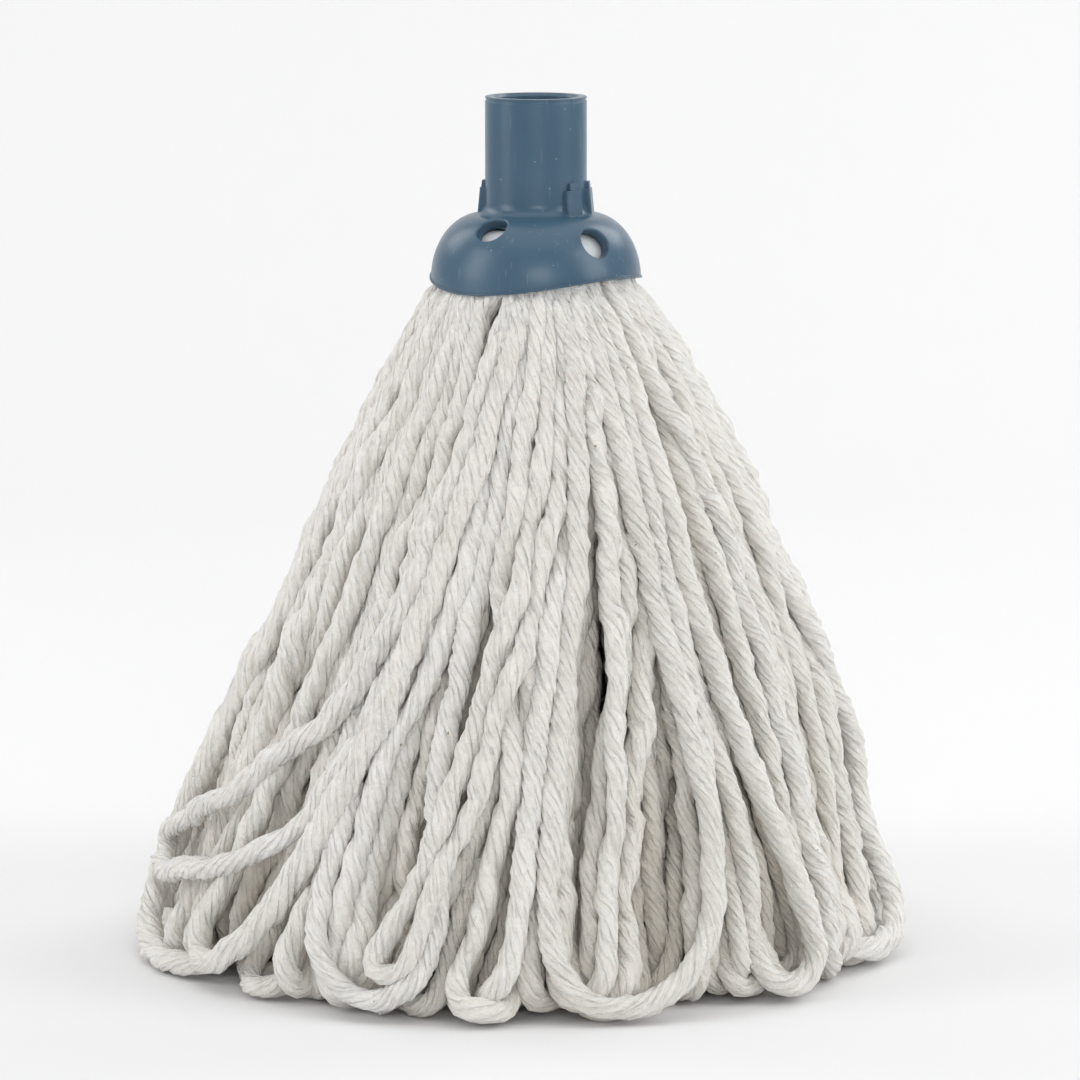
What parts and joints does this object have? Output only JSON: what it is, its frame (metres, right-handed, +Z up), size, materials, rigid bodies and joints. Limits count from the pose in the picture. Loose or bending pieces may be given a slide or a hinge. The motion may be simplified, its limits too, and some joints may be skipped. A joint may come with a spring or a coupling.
{
  "type": "string mop head",
  "caption": "String mop head: looped cotton yarn hanging from a blue plastic socket with a blind bore for a round push-in handle, standing on its yarn.",
  "frame": {"origin": "on the floor under the socket's axis, at the middle of the yarn's footprint", "axes": "+Z up along the handle's axis; -Y is the front; +X is to the right as seen from the front"},
  "size_m": [0.2362, 0.2362, 0.264],
  "materials": {
    "blue_plastic": "semi-gloss moulded polypropylene, slate blue",
    "white_plastic": "natural white moulded polypropylene",
    "cotton_yarn": "soft plied undyed cotton yarn, off-white",
    "tie_thread": "tight white polyester-cotton thread"
  },
  "bodies": {
    "head": {"socket": "blue_plastic", "retainer_cap": "white_plastic", "clamp_plug": "white_plastic", "yarn_hub": "cotton_yarn", "tie_thread": "tie_thread", "yarn_core": "cotton_yarn", "inner_bundle_1": "cotton_yarn", "inner_bundle_2": "cotton_yarn", "inner_bundle_3": "cotton_yarn", "inner_bundle_4": "cotton_yarn", "inner_bundle_5": "cotton_yarn", "inner_bundle_6": "cotton_yarn"},
    "bundle_1": {"outer_bundle_1a": "cotton_yarn", "outer_bundle_1b": "cotton_yarn"},
    "bundle_2": {"outer_bundle_2a": "cotton_yarn", "outer_bundle_2b": "cotton_yarn"},
    "bundle_3": {"outer_bundle_3a": "cotton_yarn", "outer_bundle_3b": "cotton_yarn"},
    "bundle_4": {"outer_bundle_4a": "cotton_yarn", "outer_bundle_4b": "cotton_yarn"},
    "bundle_5": {"outer_bundle_5a": "cotton_yarn", "outer_bundle_5b": "cotton_yarn"},
    "bundle_6": {"outer_bundle_6a": "cotton_yarn", "outer_bundle_6b": "cotton_yarn"},
    "bundle_7": {"outer_bundle_7a": "cotton_yarn", "outer_bundle_7b": "cotton_yarn"},
    "bundle_8": {"outer_bundle_8a": "cotton_yarn", "outer_bundle_8b": "cotton_yarn"}
  },
  "joints": [
    {"name": "bundle_1_swing", "type": "hinge", "parent": "head", "child": "bundle_1", "pos_m": [-0.02362, -0.01504, 0.1995], "axis": [-0.5373, 0.8434, 0], "range_deg": [0, 40]},
    {"name": "bundle_2_swing", "type": "hinge", "parent": "head", "child": "bundle_2", "pos_m": [-0.00606, -0.02734, 0.1995], "axis": [-0.9763, 0.2164, 0], "range_deg": [0, 40]},
    {"name": "bundle_3_swing", "type": "hinge", "parent": "head", "child": "bundle_3", "pos_m": [0.01504, -0.02362, 0.1995], "axis": [-0.8434, -0.5373, 0], "range_deg": [0, 40]},
    {"name": "bundle_4_swing", "type": "hinge", "parent": "head", "child": "bundle_4", "pos_m": [0.02734, -0.00606, 0.1995], "axis": [-0.2164, -0.9763, 0], "range_deg": [0, 40]},
    {"name": "bundle_5_swing", "type": "hinge", "parent": "head", "child": "bundle_5", "pos_m": [0.02362, 0.01504, 0.1995], "axis": [0.5373, -0.8434, 0], "range_deg": [0, 40]},
    {"name": "bundle_6_swing", "type": "hinge", "parent": "head", "child": "bundle_6", "pos_m": [0.00606, 0.02734, 0.1995], "axis": [0.9763, -0.2164, 0], "range_deg": [0, 40]},
    {"name": "bundle_7_swing", "type": "hinge", "parent": "head", "child": "bundle_7", "pos_m": [-0.01504, 0.02362, 0.1995], "axis": [0.8434, 0.5373, 0], "range_deg": [0, 40]},
    {"name": "bundle_8_swing", "type": "hinge", "parent": "head", "child": "bundle_8", "pos_m": [-0.02734, 0.00606, 0.1995], "axis": [0.2164, 0.9763, 0], "range_deg": [0, 40]}
  ]
}
